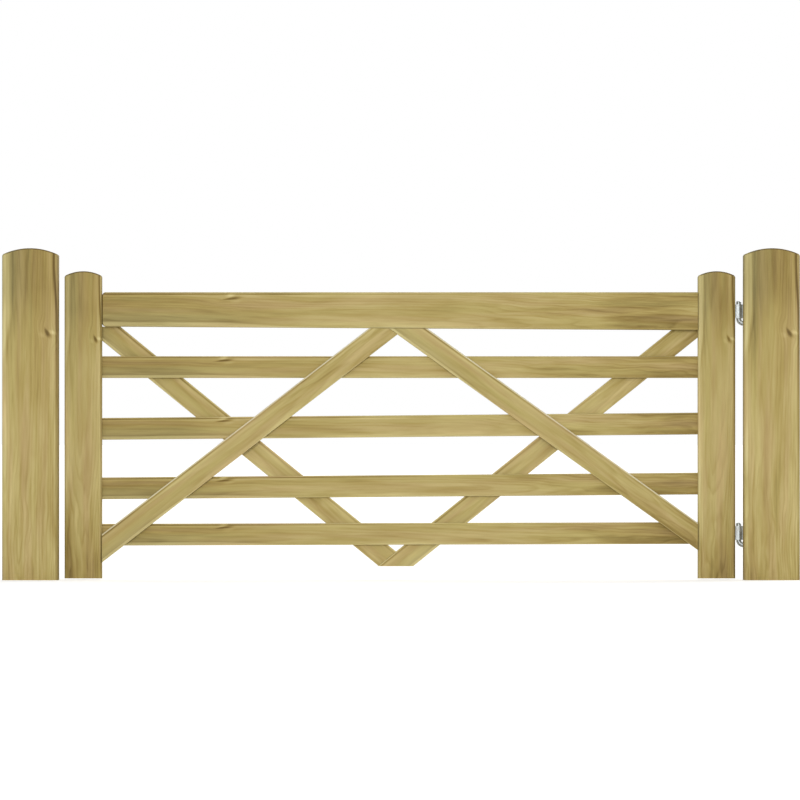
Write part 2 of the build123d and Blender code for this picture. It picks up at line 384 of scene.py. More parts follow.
# %% The grain wanders
WAVES = (  # size of a wave along, through and across in mm, its drift in mm at start and end
    ((700, 120, 90), 24.0, 24.0),
    ((170, 60, 45), 4.0, 20.0),
)
wavy_end = node(pine, "MapRange", {
    "Value": share, "From Min": 0.55, "From Max": 0.85,
}, interpolation_type="SMOOTHSTEP")

grain = start
for sizes, calm, wavy in WAVES:
    slow = node(pine, "VectorMath", {0: start, 1: [1 / size for size in sizes]}, operation="MULTIPLY")
    drift = node(pine, "TexNoise", {
        "Vector": slow, "W": given["Seed"], "Scale": 1.0,
    }, noise_dimensions="4D")
    sideways = node(pine, "VectorMath", {
        0: drift.outputs["Color"], 1: (0.0, 1.0, 1.0),
    }, operation="MULTIPLY")
    amount = node(pine, "MapRange", {"Value": wavy_end, "To Min": calm, "To Max": wavy})
    swerve = node(pine, "VectorMath", {0: sideways, "Scale": amount}, operation="SCALE")
    grain = node(pine, "VectorMath", {0: grain, 1: swerve}, operation="ADD")

knots = []
for socket in ("First knot", "Second knot"):
    knot = node(pine, "Group", {
        "Position": start, "Knot": given[socket], "Size": given["Knot size"],
    }, node_tree=knot_group)
    grain = node(pine, "VectorMath", {0: grain, 1: knot.outputs["Bend"]}, operation="ADD")
    knots.append(knot.outputs)
print("the grain follows", len(WAVES), "waves and", len(knots), "knots")

# %% [markdown]
# ## Patterns with real sizes
# Each pattern is one noise, stretched along the grain as wood cells are, and its
# size is given in millimetres. Two of them are drawn coarser than they grow,
# because a pixel covers more than 3 mm: a real fibre is thinner than a hair and
# is drawn 0.9 mm wide, and a streak of resin of 1 or 2 mm is drawn 5 mm wide.

# %% Patterns with real sizes
PATTERNS = (  # name, sizes along, through and across in mm, seed, detail
    ("good years", (2500, 30, 30), given["Seed"], 1.0),
    ("broad bands", (300, 60, 34), given["Seed"], 1.0),
    ("narrow bands", (140, 18, 11), given["Seed"], 2.0),
    ("streaks", (80, 5.0, 5.0), given["Seed"], 2.0),
    ("fibres", (45, 0.9, 0.9), given["Seed"], 2.0),
    ("warm or green", (420, 70, 30), 7.0, 1.0),
)
patterns = {}
for name, sizes, seed, detail in PATTERNS:
    spots = node(pine, "VectorMath", {0: grain, 1: [1 / size for size in sizes]}, operation="MULTIPLY")
    patterns[name] = node(pine, "TexNoise", {
        "Vector": spots, "W": seed, "Scale": 1.0, "Detail": detail,
    }, noise_dimensions="4D").outputs["Fac"]
    print(name, "repeat every", sizes, "mm")

# %% [markdown]
# ## Growth rings
# A ring is pale where it grew in spring and darkens towards autumn, then stops
# sharply. Its number follows from the distance to the pith. A trunk tapers, so
# every ring nears the pith along the timber, which draws the long flames of a
# flat-sawn board, and good years push the rings apart. Plantation pine grows
# rings of 3 to 8 mm, and 6.5 mm still shows in the picture.

# %% Growth rings
RING_WIDTH = 6.5
TAPER = 0.014  # mm that the trunk's radius changes per mm along it
GOOD_YEARS_PUSH = 16.0  # mm

from_pith = node(pine, "VectorMath", {0: grain, 1: given["Pith"]}, operation="SUBTRACT")
ring_plane = node(pine, "VectorMath", {0: from_pith, 1: (0.0, 1.0, 1.0)}, operation="MULTIPLY")
radius = node(pine, "VectorMath", {0: ring_plane}, operation="LENGTH")
tapered = node(pine, "Math", {
    0: place.outputs["X"], 1: TAPER, 2: radius.outputs["Value"],
}, operation="MULTIPLY_ADD")
uneven = node(pine, "Math", {
    0: patterns["good years"], 1: GOOD_YEARS_PUSH, 2: tapered,
}, operation="MULTIPLY_ADD")
years = node(pine, "Math", {0: uneven, 1: RING_WIDTH}, operation="DIVIDE")
season = node(pine, "Math", {0: years}, operation="FRACT")
late_wood = node(pine, "ValToRGB", {"Fac": season}, stops={
    0.0: 0.6, 0.1: 0.05, 0.55: 0.2, 0.9: 1.0, 1.0: 0.6,
})
print("rings are", RING_WIDTH, "mm wide")

# %% [markdown]
# ## Painted light along one edge, painted shade along the other
# One rounded edge of each timber gets a strip of painted light, 1 to 3 cm
# wide, with a thin line of painted shade beside it. The other edge gets a thin
# dark line of painted shade beside a band of painted light. Each edge is a ramp
# over the distance to it, counted in widths of its own, and both drift outwards
# a little beyond the start.

# %% The painted light along the near edge
PALE_RAMP_SPAN = 4.0  # widths of the pale edge that its ramp covers

painted_light_drift = node(pine, "MapRange", {
    "Value": share, "From Min": 0.18, "From Max": 0.36, "To Max": 0.8,
}, interpolation_type="SMOOTHSTEP")
near_edge = node(pine, "Math", {0: place.outputs["Z"], 1: given["Pale edge"]}, operation="DIVIDE")
near_drifted = node(pine, "Math", {0: near_edge, 1: painted_light_drift}, operation="ADD")
near_on_ramp = node(pine, "Math", {0: near_drifted, 1: PALE_RAMP_SPAN}, operation="DIVIDE")
# Painted light: a pale strip along the near arris, then a thin line of painted shade.
painted_light_near_edge = node(pine, "ValToRGB", {"Fac": near_on_ramp}, stops={
    0.0: 0.7, 0.1: 0.86, 0.19: 0.84, 0.24: 0.5, 0.28: 0.3, 0.34: 0.42, 0.5: 0.5,
})
print("the pale edge's ramp covers", PALE_RAMP_SPAN, "widths")

# %% The painted shade along the far edge
DARK_RAMP_SPAN = 3.0  # widths of the far edge that its ramp covers
RIM_FROM, RIM_FULL = 5.5, 2.5  # mm from the far edge: the thin pale rim of a planed brace

width_here = node(pine, "Math", {
    0: share, 1: given["Widens"], 2: given["Width"],
}, operation="MULTIPLY_ADD")
far_side = node(pine, "Math", {0: width_here, 1: place.outputs["Z"]}, operation="SUBTRACT")
far_edge = node(pine, "Math", {0: far_side, 1: given["Far edge"]}, operation="DIVIDE")
line_drift = node(pine, "MapRange", {
    "Value": share, "From Min": 0.03, "From Max": 0.22, "To Max": given["Line drifts"],
}, interpolation_type="SMOOTHSTEP")
far_drifted = node(pine, "Math", {0: far_edge, 1: line_drift}, operation="ADD")
far_on_ramp = node(pine, "Math", {0: far_drifted, 1: DARK_RAMP_SPAN}, operation="DIVIDE")
# Painted shade: a thin dark line near the far arris, beside a band of painted light.
painted_shade_far_edge = node(pine, "ValToRGB", {"Fac": far_on_ramp}, stops={
    0.0: 0.62, 0.15: 0.58, 0.23: 0.14, 0.3: 0.1, 0.37: 0.45, 0.46: 0.72, 0.56: 0.74,
    0.7: 0.6, 0.95: 0.5,
})
# Painted highlight: a thin pale rim along the brace's upper arris.
painted_highlight_rim = node(pine, "MapRange", {
    "Value": far_side, "From Min": RIM_FROM, "From Max": RIM_FULL, "To Max": given["Upper rim"],
})
print("the dark line's ramp covers", DARK_RAMP_SPAN, "widths")

# %% [markdown]
# ## Paler in the middle, darker at both ends
# Timber comes wet from its treatment and is stacked to dry. Its ends soak up
# more of the salts and come out darker, most of all the start. The near side is
# palest half way along and darkest near the far end. All of these change slowly
# over the share of the length, so a long rail looks like a short post.

# %% Tone along the length
near_zone = node(pine, "MapRange", {
    "Value": near_edge, "From Min": 1.7, "From Max": 0.4,
}, interpolation_type="SMOOTHSTEP")
pale_then_dark = node(pine, "ValToRGB", {"Fac": share}, stops={
    0.26: 0.5, 0.42: 1.0, 0.62: 0.95, 0.78: 0.45, 0.9: 0.1, 1.0: 0.2,
})
swing = node(pine, "Math", {0: pale_then_dark, 1: 0.5}, operation="SUBTRACT")
near_side = node(pine, "Math", {0: swing, 1: near_zone}, operation="MULTIPLY")

dark_start = node(pine, "ValToRGB", {"Fac": share}, stops={
    0.0: 0.95, 0.12: 0.95, 0.19: 0.6, 0.28: 0.26, 0.42: 0.07, 0.55: 0.0,
})
dark_end = node(pine, "MapRange", {
    "Value": share, "From Min": given["End from"], "From Max": given["End to"],
}, interpolation_type="SMOOTHSTEP")
darker = node(pine, "Math", {0: dark_start, 1: given["Start darkens"]}, operation="MULTIPLY")
darkening = node(pine, "Math", {
    0: dark_end, 1: given["End darkens"], 2: darker,
}, operation="MULTIPLY_ADD")
print("the pine group has", len(pine.nodes), "nodes so far")

# %% [markdown]
# ## End grain, and painted light and shade on the arrises
# A sawn end drinks much more of the salts and dries out in fine checks that run
# from the pith like the rays of a star. Which faces are ends is told by the way
# they look. The rounded arrises, which look to neither side squarely, get painted
# light against the shade they turn into, except where the painted dark line runs
# over them. The chamfer round a sawn end gets painted shade.

# %% Checks in the end grain
facing = node(pine, "VectorMath", {0: given["Facing"]}, operation="ABSOLUTE")
faces = node(pine, "SeparateXYZ", {0: facing})
end_grain = node(pine, "MapRange", {
    "Value": faces.outputs["X"], "From Min": 0.35, "From Max": 0.8,
}, interpolation_type="SMOOTHSTEP")
round_pith = node(pine, "SeparateXYZ", {0: ring_plane})
bearing = node(pine, "Math", {
    0: round_pith.outputs["Y"], 1: round_pith.outputs["Z"],
}, operation="ARCTAN2")
one_ray = node(pine, "CombineXYZ", {0: bearing, 1: given["Seed"]})
rays = node(pine, "TexNoise", {
    "Vector": one_ray, "Scale": 3.5, "Detail": 3.0, "Roughness": 0.7,
}, noise_dimensions="2D")
checks = node(pine, "MapRange", {
    "Value": rays.outputs["Fac"], "From Min": 0.66, "From Max": 0.72,
}, interpolation_type="SMOOTHSTEP")
print("end grain has checks that run from the pith")

# %% Arrises and knots
flattest = node(pine, "Math", {0: faces.outputs["Y"], 1: faces.outputs["Z"]}, operation="MAXIMUM")
squarest = node(pine, "Math", {0: flattest, 1: faces.outputs["X"]}, operation="MAXIMUM")
# Painted highlight on the rounded arrises, which turn away from the lamps.
arris = node(pine, "MapRange", {
    "Value": squarest, "From Min": 0.985, "From Max": 0.88,
}, interpolation_type="SMOOTHSTEP")
off_the_line = node(pine, "MapRange", {"Value": painted_shade_far_edge, "From Min": 0.15, "From Max": 0.5})
painted_highlight_arris = node(pine, "Math", {0: arris, 1: off_the_line}, operation="MULTIPLY")
# Painted shade on the chamfer round a sawn end.
end_chamfer_painted_shade = node(pine, "MapRange", {
    "Value": faces.outputs["X"], "From Min": 0.97, "From Max": 0.85,
}, interpolation_type="SMOOTHSTEP")
knot_wood, pale_side = [node(pine, "Math", {
    0: knots[0][socket], 1: knots[1][socket],
}, operation="ADD", use_clamp=True) for socket in ("Knot wood", "Pale side")]
print("rounded edges get painted light")

# %% [markdown]
# ## One tone out of all of them
# Now the parts are weighed and added. Each is taken from its own middle value,
# so that a part can grow stronger without making the whole timber darker. The
# bands are calm at the start, where the salts cover them, and lively at the far
# end, and the two edges fade away from the start.

# %% Weights that change along the timber
BROAD_BANDS, NARROW_BANDS = 0.5, 0.34

edge_weights = [node(pine, "MapRange", {
    "Value": share, "From Min": low, "From Max": high,
    "To Min": 0.7, "To Max": given["Edges fade to"],
}) for low, high in ((0.22, 0.45), (0.35, 0.62))]
calm_start = node(pine, "MapRange", {"Value": dark_start, "To Min": 1.0, "To Max": 0.5})
lively_end = node(pine, "MapRange", {"Value": wavy_end, "To Min": 1.0, "To Max": 1.5})
late_weight = node(pine, "MapRange", {"Value": wavy_end, "To Min": -0.1, "To Max": -0.14})
liveliness = node(pine, "Math", {0: calm_start, 1: lively_end}, operation="MULTIPLY")
band_weights = [node(pine, "Math", {
    0: liveliness, 1: weight,
}, operation="MULTIPLY") for weight in (BROAD_BANDS, NARROW_BANDS)]
print("bands weigh", BROAD_BANDS, "and", NARROW_BANDS)

# %% The tone of sides and of ends
LATE_MIDDLE = 0.35  # close to the mean of the late wood's ramp
END_TONE = 0.34
SIDE_PARTS = (  # part, its middle value, its weight
    (patterns["broad bands"], 0.5, band_weights[0]),
    (patterns["narrow bands"], 0.5, band_weights[1]),
    (patterns["streaks"], 0.5, 0.16),
    (patterns["fibres"], 0.5, 0.14),
    (late_wood, LATE_MIDDLE, late_weight),
    # The next three rows add painted light and painted shade along both edges, and a painted highlight
    # rim.
    (painted_light_near_edge, 0.5, edge_weights[0]),
    (painted_shade_far_edge, 0.5, edge_weights[1]),
    (painted_highlight_rim, 0.0, 1.0),
    (darkening, 0.0, -1.0),
    (near_side, 0.0, 0.3),
    # Painted highlight on the rounded arrises.
    (painted_highlight_arris, 0.0, 0.24),
    (knot_wood, 0.0, -0.48),
    (pale_side, 0.0, 0.3),
)
END_PARTS = (
    (late_wood, LATE_MIDDLE, -0.38),
    (patterns["broad bands"], 0.5, 0.25),
    (patterns["fibres"], 0.5, 0.25),
    (checks, 0.0, -0.5),
    # Painted shade on the chamfer round a sawn end.
    (end_chamfer_painted_shade, 0.0, -0.5),
)


def weigh(base, parts):
    """The base tone with every part's distance from its middle value added."""
    for part, middle, weight in parts:
        off_middle = node(pine, "Math", {0: part, 1: middle}, operation="SUBTRACT")
        base = node(pine, "Math", {0: off_middle, 1: weight, 2: base}, operation="MULTIPLY_ADD")
    return base


tone = node(pine, "Mix", {
    0: end_grain, 2: weigh(given["Tone"], SIDE_PARTS), 3: weigh(END_TONE, END_PARTS),
}, data_type="FLOAT")
print("parts of the tone:", len(SIDE_PARTS), "on sides and", len(END_PARTS), "on ends")

# %% [markdown]
# ## From tone to colour
# One ramp holds the whole range, from the brown of a knot to the cream of an
# edge with painted light. Treated pine isn't one hue, though: it is warmer where
# resin kept the salts out, greener where they went deep, and cold and grey near
# the damp start, and the painted highlight rim of a front brace is cream. These
# tints change the hue and its strength but not the brightness, so the pattern stays as it is.

# %% From tone to colour
colour = node(pine, "ValToRGB", {"Fac": tone}, stops={
    0.0: "#6b5628", 0.22: "#8b763f", 0.45: "#a69255", 0.62: "#b3a168", 0.8: "#c1b177", 1.0: "#d3c68f",
})
across = node(pine, "Math", {0: place.outputs["Z"], 1: given["Width"]}, operation="DIVIDE")
damp_side = node(pine, "MapRange", {"Value": across, "From Min": 0.6, "From Max": 0.1})
damp_start = node(pine, "Math", {0: dark_start, 1: damp_side}, operation="MULTIPLY")
TINTS = (  # where, from and to which value, how much at most, the hue
    (patterns["warm or green"], 0.5, 0.72, 0.5, "#b8a965"),
    (patterns["warm or green"], 0.5, 0.28, 0.5, "#ae9365"),
    (damp_start, 0.0, 1.0, 0.5, "#979064"),
    # A cream hue for the painted highlight rim.
    (painted_highlight_rim, 0.0, 0.4, 0.75, "#efe6c8"),
)
for source, low, high, most, tint in TINTS:
    share_of_tint = node(pine, "MapRange", {
        "Value": source, "From Min": low, "From Max": high, "To Max": most,
    })
    colour = node(pine, "Mix", {
        0: share_of_tint, 6: colour, 7: linear(tint),
    }, data_type="RGBA", blend_type="COLOR").outputs[2]
pine.links.new(colour, result["Color"])
print("one ramp and", len(TINTS), "tints")

# %% [markdown]
# ## Roughness and relief
# Dense, dark wood soaks up the salts and stays dull, and pale wood has a faint
# sheen. Late wood and fibres stand a little proud after planing. A post is only
# sawn, and the blade left a fine ridge at every tooth. Those ridges lie 3 or 4
# mm apart, and are drawn 7 mm apart so that they show.

# %% Roughness and relief
SAW_PITCH = 7.0
SAW_WANDERS = 6.0  # mm
FIBRE_RELIEF = 0.6
ROUGH_DARK, ROUGH_PALE = 0.82, 0.6

rough = node(pine, "MapRange", {
    "Value": tone, "From Min": 0.0, "From Max": 1.0, "To Min": ROUGH_DARK, "To Max": ROUGH_PALE,
})
saw_tooth = node(pine, "Math", {
    0: patterns["narrow bands"], 1: SAW_WANDERS, 2: place.outputs["X"],
}, operation="MULTIPLY_ADD")
saw_wave = node(pine, "Math", {0: saw_tooth, 1: 2 * math.pi / SAW_PITCH}, operation="MULTIPLY")
saw_line = node(pine, "Math", {0: saw_wave}, operation="SINE")
saw_marks = node(pine, "Math", {
    0: saw_line, 1: given["Saw marks"], 2: late_wood,
}, operation="MULTIPLY_ADD")
height = node(pine, "Math", {
    0: patterns["fibres"], 1: FIBRE_RELIEF, 2: saw_marks,
}, operation="MULTIPLY_ADD")
pine.links.new(rough.outputs[0], result["Roughness"])
pine.links.new(height.outputs[0], result["Height"])
print("the pine group has", len(pine.nodes), "nodes")

# %% [markdown]
# ## A plank for every timber
# All timbers share the group, but each was sawn from its own log. So each gets
# its own material that turns the piece's place into millimetres along its run
# and hands over its width, its pith and its knots. It is pressure-treated pine,
# sawn for the posts and planed for the leaf. That gives the eye a yellow olive
# with soft stripes and no shine: wood has an IOR of about 1.45, but its broken
# fibres scatter most of what would be a highlight.

# %% Hand a timber its own wood
WOOD_IOR = 1.45
WOOD_SHEEN = 0.3
RELIEF_STRENGTH = 0.5
RELIEF_HEIGHT = 0.3 * MM


def dress(name, material):
    """Put one material on every slot of a piece of the frame."""
    slots = nodes[name].data.materials
    for number in range(len(slots)):
        slots[number] = material


def wood_for(name, seed, finish, values):
    """Pressure-treated pine, dull and fibrous, running along one timber."""
    facts = timbers[name]
    lean = math.radians(facts["lean"])
    material = bpy.data.materials.new(finish + "_pine_of_" + name)
    material.use_nodes = True
    tree = material.node_tree
    shader = tree.nodes["Principled BSDF"]
    place = node(tree, "TexCoord")
    in_millimetres = node(tree, "Mapping", {
        "Vector": place.outputs["Object"], "Location": -facts["low"] / MM,
        "Rotation": (0.0, lean, 0.0), "Scale": (1 / MM, 1 / MM, 1 / MM),
    })
    facing = node(tree, "Mapping", {
        "Vector": place.outputs["Normal"], "Rotation": (0.0, lean, 0.0),
    }, vector_type="VECTOR")
    own = {"Seed": seed, "Width": facts["size"].z / MM, "Shown length": facts["size"].x / MM}
    plank = node(tree, "Group", {
        "Position": in_millimetres, "Facing": facing, **own, **values,
    }, node_tree=pine)
    relief = node(tree, "Bump", {
        "Height": plank.outputs["Height"], "Strength": RELIEF_STRENGTH, "Distance": RELIEF_HEIGHT,
    })
    tree.links.new(plank.outputs["Color"], shader.inputs["Base Color"])
    tree.links.new(plank.outputs["Roughness"], shader.inputs["Roughness"])
    tree.links.new(relief.outputs[0], shader.inputs["Normal"])
    shader.inputs["IOR"].default_value = WOOD_IOR
    shader.inputs["Specular IOR Level"].default_value = WOOD_SHEEN
    dress(name, material)
    print(name, "is", finish, "and has its pith at", values["Pith"], "mm")


# %% [markdown]
# ## What sets one timber apart from the next
# A table says for each kind of timber where its pith lies, how wide its edges
# are and how dark its ends. Lengths are in millimetres, places are measured
# along, through and across the piece. The knots sit where the picture shows
# them: near the top of posts and stiles, and near the left end of the rails. A
# rail is shown between its shoulders only, since its tenons are inside the
# stiles. The rest of a row is a copy of its kind's.

# %% Posts and stiles
NO_KNOT = (-900.0, 0.0, 0.0)
POST_WOOD = {
    "Pith": (0, 100, 90), "First knot": (302, 0, 162), "Second knot": (880, 200, 200),
    "Knot size": (17.5, 0.5, 11.0), "Pale edge": 33, "Far edge": 18, "Line drifts": 0.5,
    "Edges fade to": 0.08, "Start darkens": 0.29, "End from": 0.9, "End to": 1.15,
    "End darkens": 0.2, "Saw marks": 0.3, "Tone": 0.55,
}
STILE_WOOD = {
    "Pith": (0, -60, 80), "First knot": (243, 0, 111), "Second knot": NO_KNOT,
    "Knot size": (14.5, 0.4, 8.0), "Pale edge": 21, "Far edge": 12, "Line drifts": 0.5,
    "Edges fade to": 0.08, "Start darkens": 0.29, "End from": 0.76, "End to": 1.0,
    "End darkens": 0.22, "Tone": 0.62,
}
print("a post's first knot lies", POST_WOOD["First knot"][0], "mm below its top")

# %% Rails and braces
LEAF_WIDTH = 2400.0
SHOULDER = 134.0
RAIL_WOOD = {
    "Pith": (0, -50, 30), "First knot": (572, 0, 64), "Second knot": NO_KNOT,
    "Knot size": (33, 0.12, 5.4), "Shown from": SHOULDER, "Shown length": LEAF_WIDTH - 2 * SHOULDER,
    "Pale edge": 12, "Far edge": 6.5, "Edges fade to": 0.08,
    "Start darkens": 0.22, "End from": 0.78, "End to": 0.97, "End darkens": 0.24, "Tone": 0.55,
}
TOP_RAIL_WOOD = {
    **RAIL_WOOD, "Pith": (0, -80, 30), "First knot": (597, 0, 103), "Knot size": (33, 0.12, 6.4),
    "Width": 123, "Widens": 13, "Pale edge": 18.5, "Far edge": 8, "Tone": 0.54,
}
BRACE_WOOD = {
    "Pith": (0, -60, 50), "First knot": NO_KNOT, "Second knot": NO_KNOT, "Knot size": (20, 0, 4),
    "Pale edge": 10, "Far edge": 9, "Edges fade to": 0.3,
}
print("a rail shows", RAIL_WOOD["Shown length"], "mm between its shoulders")

# %% Every timber gets its wood
FIRST_SEED, SEED_STEP = 11.3, 3.7
OWN_WOOD = {
    "hanging_post": ("sawn", {**POST_WOOD, "Tone": 0.54}),
    "shutting_post": ("sawn", POST_WOOD),
    "heel_stile": ("planed", {**STILE_WOOD, "Start darkens": 0.25, "Tone": 0.6}),
    "head_stile": ("planed", STILE_WOOD),
    "top_rail": ("planed", TOP_RAIL_WOOD),
    "second_rail": ("planed", RAIL_WOOD),
    "third_rail": ("planed", RAIL_WOOD),
    "fourth_rail": ("planed", RAIL_WOOD),
    "bottom_rail": ("planed", RAIL_WOOD),
    "heel_front_brace": ("planed", {
        **BRACE_WOOD, "Upper rim": 0.45, "Tone": 0.55,
        "End from": 0.8, "End to": 1.0, "End darkens": 0.15,
    }),
    "head_front_brace": ("planed", {
        **BRACE_WOOD, "Upper rim": 0.45, "Tone": 0.555, "Start darkens": 0.12,
    }),
    "heel_back_brace": ("planed", {
        **BRACE_WOOD, "End from": 0.78, "End to": 0.95, "End darkens": 0.12, "Tone": 0.6,
    }),
    "head_back_brace": ("planed", {**BRACE_WOOD, "Start darkens": 0.12, "Tone": 0.6}),
}
for number, (name, (finish, values)) in enumerate(OWN_WOOD.items()):
    wood_for(name, FIRST_SEED + SEED_STEP * number, finish, values)

# %% [markdown]
# ## Hot-dip galvanised steel
# Hooks, bands and screws are mild steel dipped in molten zinc. The zinc freezes
# in flat crystals about a centimetre across, each catching the light a little
# differently, and outdoors it dulls to a grey bloom. That gives the eye a
# mottled, pale grey metal. Cells give the crystals, a slow noise the bloom, and
# a fine one the grit that the crystals stand in. Grit is finer than 0.1 mm and
# is drawn at 1.2 mm, and a thinly plated screw has crystals that no eye can see
# and is drawn with crystals of 4 mm.

# %% Galvanised steel
BLOOM_SIZE = 45 * MM
GRIT_SIZE = 1.2 * MM
GRIT_HEIGHT = 0.1 * MM


def galvanised(name, crystal, bloom):
    """Zinc on steel: metallic, dull, mottled in crystals of the size in mm."""
    material = bpy.data.materials.new(name)
    material.use_nodes = True
    tree = material.node_tree
    shader = tree.nodes["Principled BSDF"]
    place = node(tree, "TexCoord")
    crystals = node(tree, "TexVoronoi", {
        "Vector": place.outputs["Object"], "Scale": 1 / (crystal * MM), "Randomness": 1.0,
    })
    one_crystal = node(tree, "SeparateColor", {0: crystals.outputs["Color"]})
    dulling = node(tree, "TexNoise", {
        "Vector": place.outputs["Object"], "Scale": 1 / BLOOM_SIZE, "Detail": 3.0,
    })
    grit = node(tree, "TexNoise", {
        "Vector": place.outputs["Object"], "Scale": 1 / GRIT_SIZE, "Detail": 2.0,
    })
    mottle = node(tree, "Math", {
        0: one_crystal, 1: 0.3, 2: dulling.outputs["Fac"],
    }, operation="MULTIPLY_ADD")
    zinc = node(tree, "ValToRGB", {"Fac": mottle}, stops={
        0.3: "#8d9294", 0.6: "#a5aaab", 0.85: "#b9bdbd", 1.0: "#c6c9c8",
    })
    metal_share = node(tree, "MapRange", {
        "Value": dulling.outputs["Fac"], "From Min": 0.35, "From Max": 0.7,
        "To Min": 1.0, "To Max": 1.0 - bloom,
    })
    rough = node(tree, "MapRange", {
        "Value": mottle, "From Min": 0.3, "From Max": 1.1, "To Min": 0.38, "To Max": 0.62,
    })
    relief = node(tree, "Bump", {
        "Height": grit.outputs["Fac"], "Strength": 0.25, "Distance": GRIT_HEIGHT,
    })
    tree.links.new(zinc.outputs[0], shader.inputs["Base Color"])
    tree.links.new(metal_share.outputs[0], shader.inputs["Metallic"])
    tree.links.new(rough.outputs[0], shader.inputs["Roughness"])
    tree.links.new(relief.outputs[0], shader.inputs["Normal"])
    return material


hinge_zinc = galvanised("galvanised_steel_hot_dipped", crystal=7, bloom=0.35)
screw_zinc = galvanised("zinc_plated_steel_screws", crystal=4, bloom=0.15)
HOOKS = ["top_hook", "bottom_hook"]
BANDS = ["top_band", "bottom_band"]
for name in HOOKS + BANDS:
    dress(name, hinge_zinc)
print("galvanised:", HOOKS + BANDS)

# %% [markdown]
# ## Coach screws
# Hooks and bands are held by hexagon-headed screws, each on its own washer. We
# model one head lying on the ground, looking up: a flat disc for the washer, a
# smaller six-sided one for the head, both pulled up and bevelled. Then we tip it
# to face the back of the gate and copy it to every hole, turned at random, since
# no spanner leaves the flats in line.

# %% One coach screw head
WASHER_RADIUS = 10.5 * MM
WASHER_HEIGHT = 1.6 * MM
WASHER_BEVEL = 0.4 * MM
HEAD_ACROSS_FLATS = 13 * MM
HEAD_HEIGHT = 5 * MM
HEAD_BEVEL = 1.1 * MM
ROUND_SIDES = 24

deselect()
bpy.ops.mesh.primitive_circle_add(vertices=ROUND_SIDES, radius=WASHER_RADIUS, fill_type="NGON")
screw = bpy.context.active_object
screw.name = "coach_screw"
bpy.ops.object.mode_set(mode="EDIT")
bpy.ops.mesh.select_all(action="SELECT")
bpy.ops.mesh.extrude_region_move(TRANSFORM_OT_translate={"value": (0, 0, WASHER_HEIGHT)})
bpy.ops.mesh.bevel(offset=WASHER_BEVEL, segments=2, affect="EDGES")
bpy.ops.mesh.select_all(action="DESELECT")
bpy.ops.mesh.primitive_circle_add(
    vertices=6, radius=HEAD_ACROSS_FLATS / math.sqrt(3), fill_type="NGON",
    location=(0, 0, WASHER_HEIGHT),
)
bpy.ops.mesh.extrude_region_move(TRANSFORM_OT_translate={"value": (0, 0, HEAD_HEIGHT)})
bpy.ops.mesh.bevel(offset=HEAD_BEVEL, segments=2, affect="EDGES")
bpy.ops.mesh.select_all(action="SELECT")
bpy.ops.mesh.normals_make_consistent(inside=False)
bpy.ops.object.mode_set(mode="OBJECT")
screw.data.materials.append(screw_zinc)
print("one screw head:", len(screw.data.polygons), "faces")

# %% Copies with a mesh of their own
TIP_BACK = Matrix.Rotation(math.radians(-90), 4, "X")
dice = np.random.default_rng(5)


def copy_to(model, name, place, body):
    """A copy with its own mesh, tipped to face the back, turned and set in place."""
    mesh = model.data.copy()
    turn = Matrix.Rotation(dice.uniform(0, 2 * math.pi), 4, "Z")
    mesh.transform(Matrix.Translation(place) @ TIP_BACK @ turn)
    made = bpy.data.objects.new(name, mesh)
    scene.collection.objects.link(made)
    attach(made, body)


PLATE_WIDTH, PLATE_HEIGHT, PLATE_THICKNESS = 100 * MM, 110 * MM, 8 * MM
post_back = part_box("hanging_post")[1].y
leaf_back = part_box("heel_stile")[1].y
print("the backs of post and leaf:", round(post_back, 3), round(leaf_back, 3))

# %% A coach screw in every hole
PLATE_HOLE_INSET = 18 * MM
BAND_THICKNESS, HEEL_HOLE_INSET, TIP_HOLE_INSET = 6 * MM, 28 * MM, 30 * MM
BAND_HOLES = {"top_band": 4, "bottom_band": 2}
CORNERS = ((-1, -1), (1, -1), (1, 1), (-1, 1))
heel_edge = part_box("heel_stile")[1].x

for name in HOOKS:
    low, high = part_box(name)
    middle_x, middle_z = high.x - PLATE_WIDTH / 2, low.z + PLATE_HEIGHT / 2
    for corner, (side, up) in enumerate(CORNERS, 1):
        copy_to(screw, f"{name}_screw_{corner}", (
            middle_x + side * (PLATE_WIDTH / 2 - PLATE_HOLE_INSET),
            post_back + PLATE_THICKNESS,
            middle_z + up * (PLATE_HEIGHT / 2 - PLATE_HOLE_INSET),
        ), "posts")
for name, holes in BAND_HOLES.items():
    low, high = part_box(name)
    places = np.linspace(heel_edge - HEEL_HOLE_INSET, low.x + TIP_HOLE_INSET, holes)
    for number, x in enumerate(places, 1):
        copy_to(screw, f"{name}_screw_{number}", (
            x, leaf_back + BAND_THICKNESS, (low.z + high.z) / 2,
        ), "leaf")
bpy.data.objects.remove(screw)

# %% [markdown]
# ## The screws that hold the braces
# The front of the gate is clean, so the braces are fixed from behind. The front
# braces are screwed through the rails, the back braces through themselves, two
# screws at each crossing, set on the slant so that they don't split one fibre
# line. A head here is a thin disc with a domed rim and a socket sunk into it.

# %% One brace screw head
BUTTON_RADIUS = 5.5 * MM
BUTTON_HEIGHT = 1.5 * MM
BUTTON_BEVEL = 0.9 * MM
SOCKET_INSET = 1.7 * MM
SOCKET_DEPTH = 0.8 * MM
SOCKET_NARROWS = 0.7
BUTTON_SIDES = 16

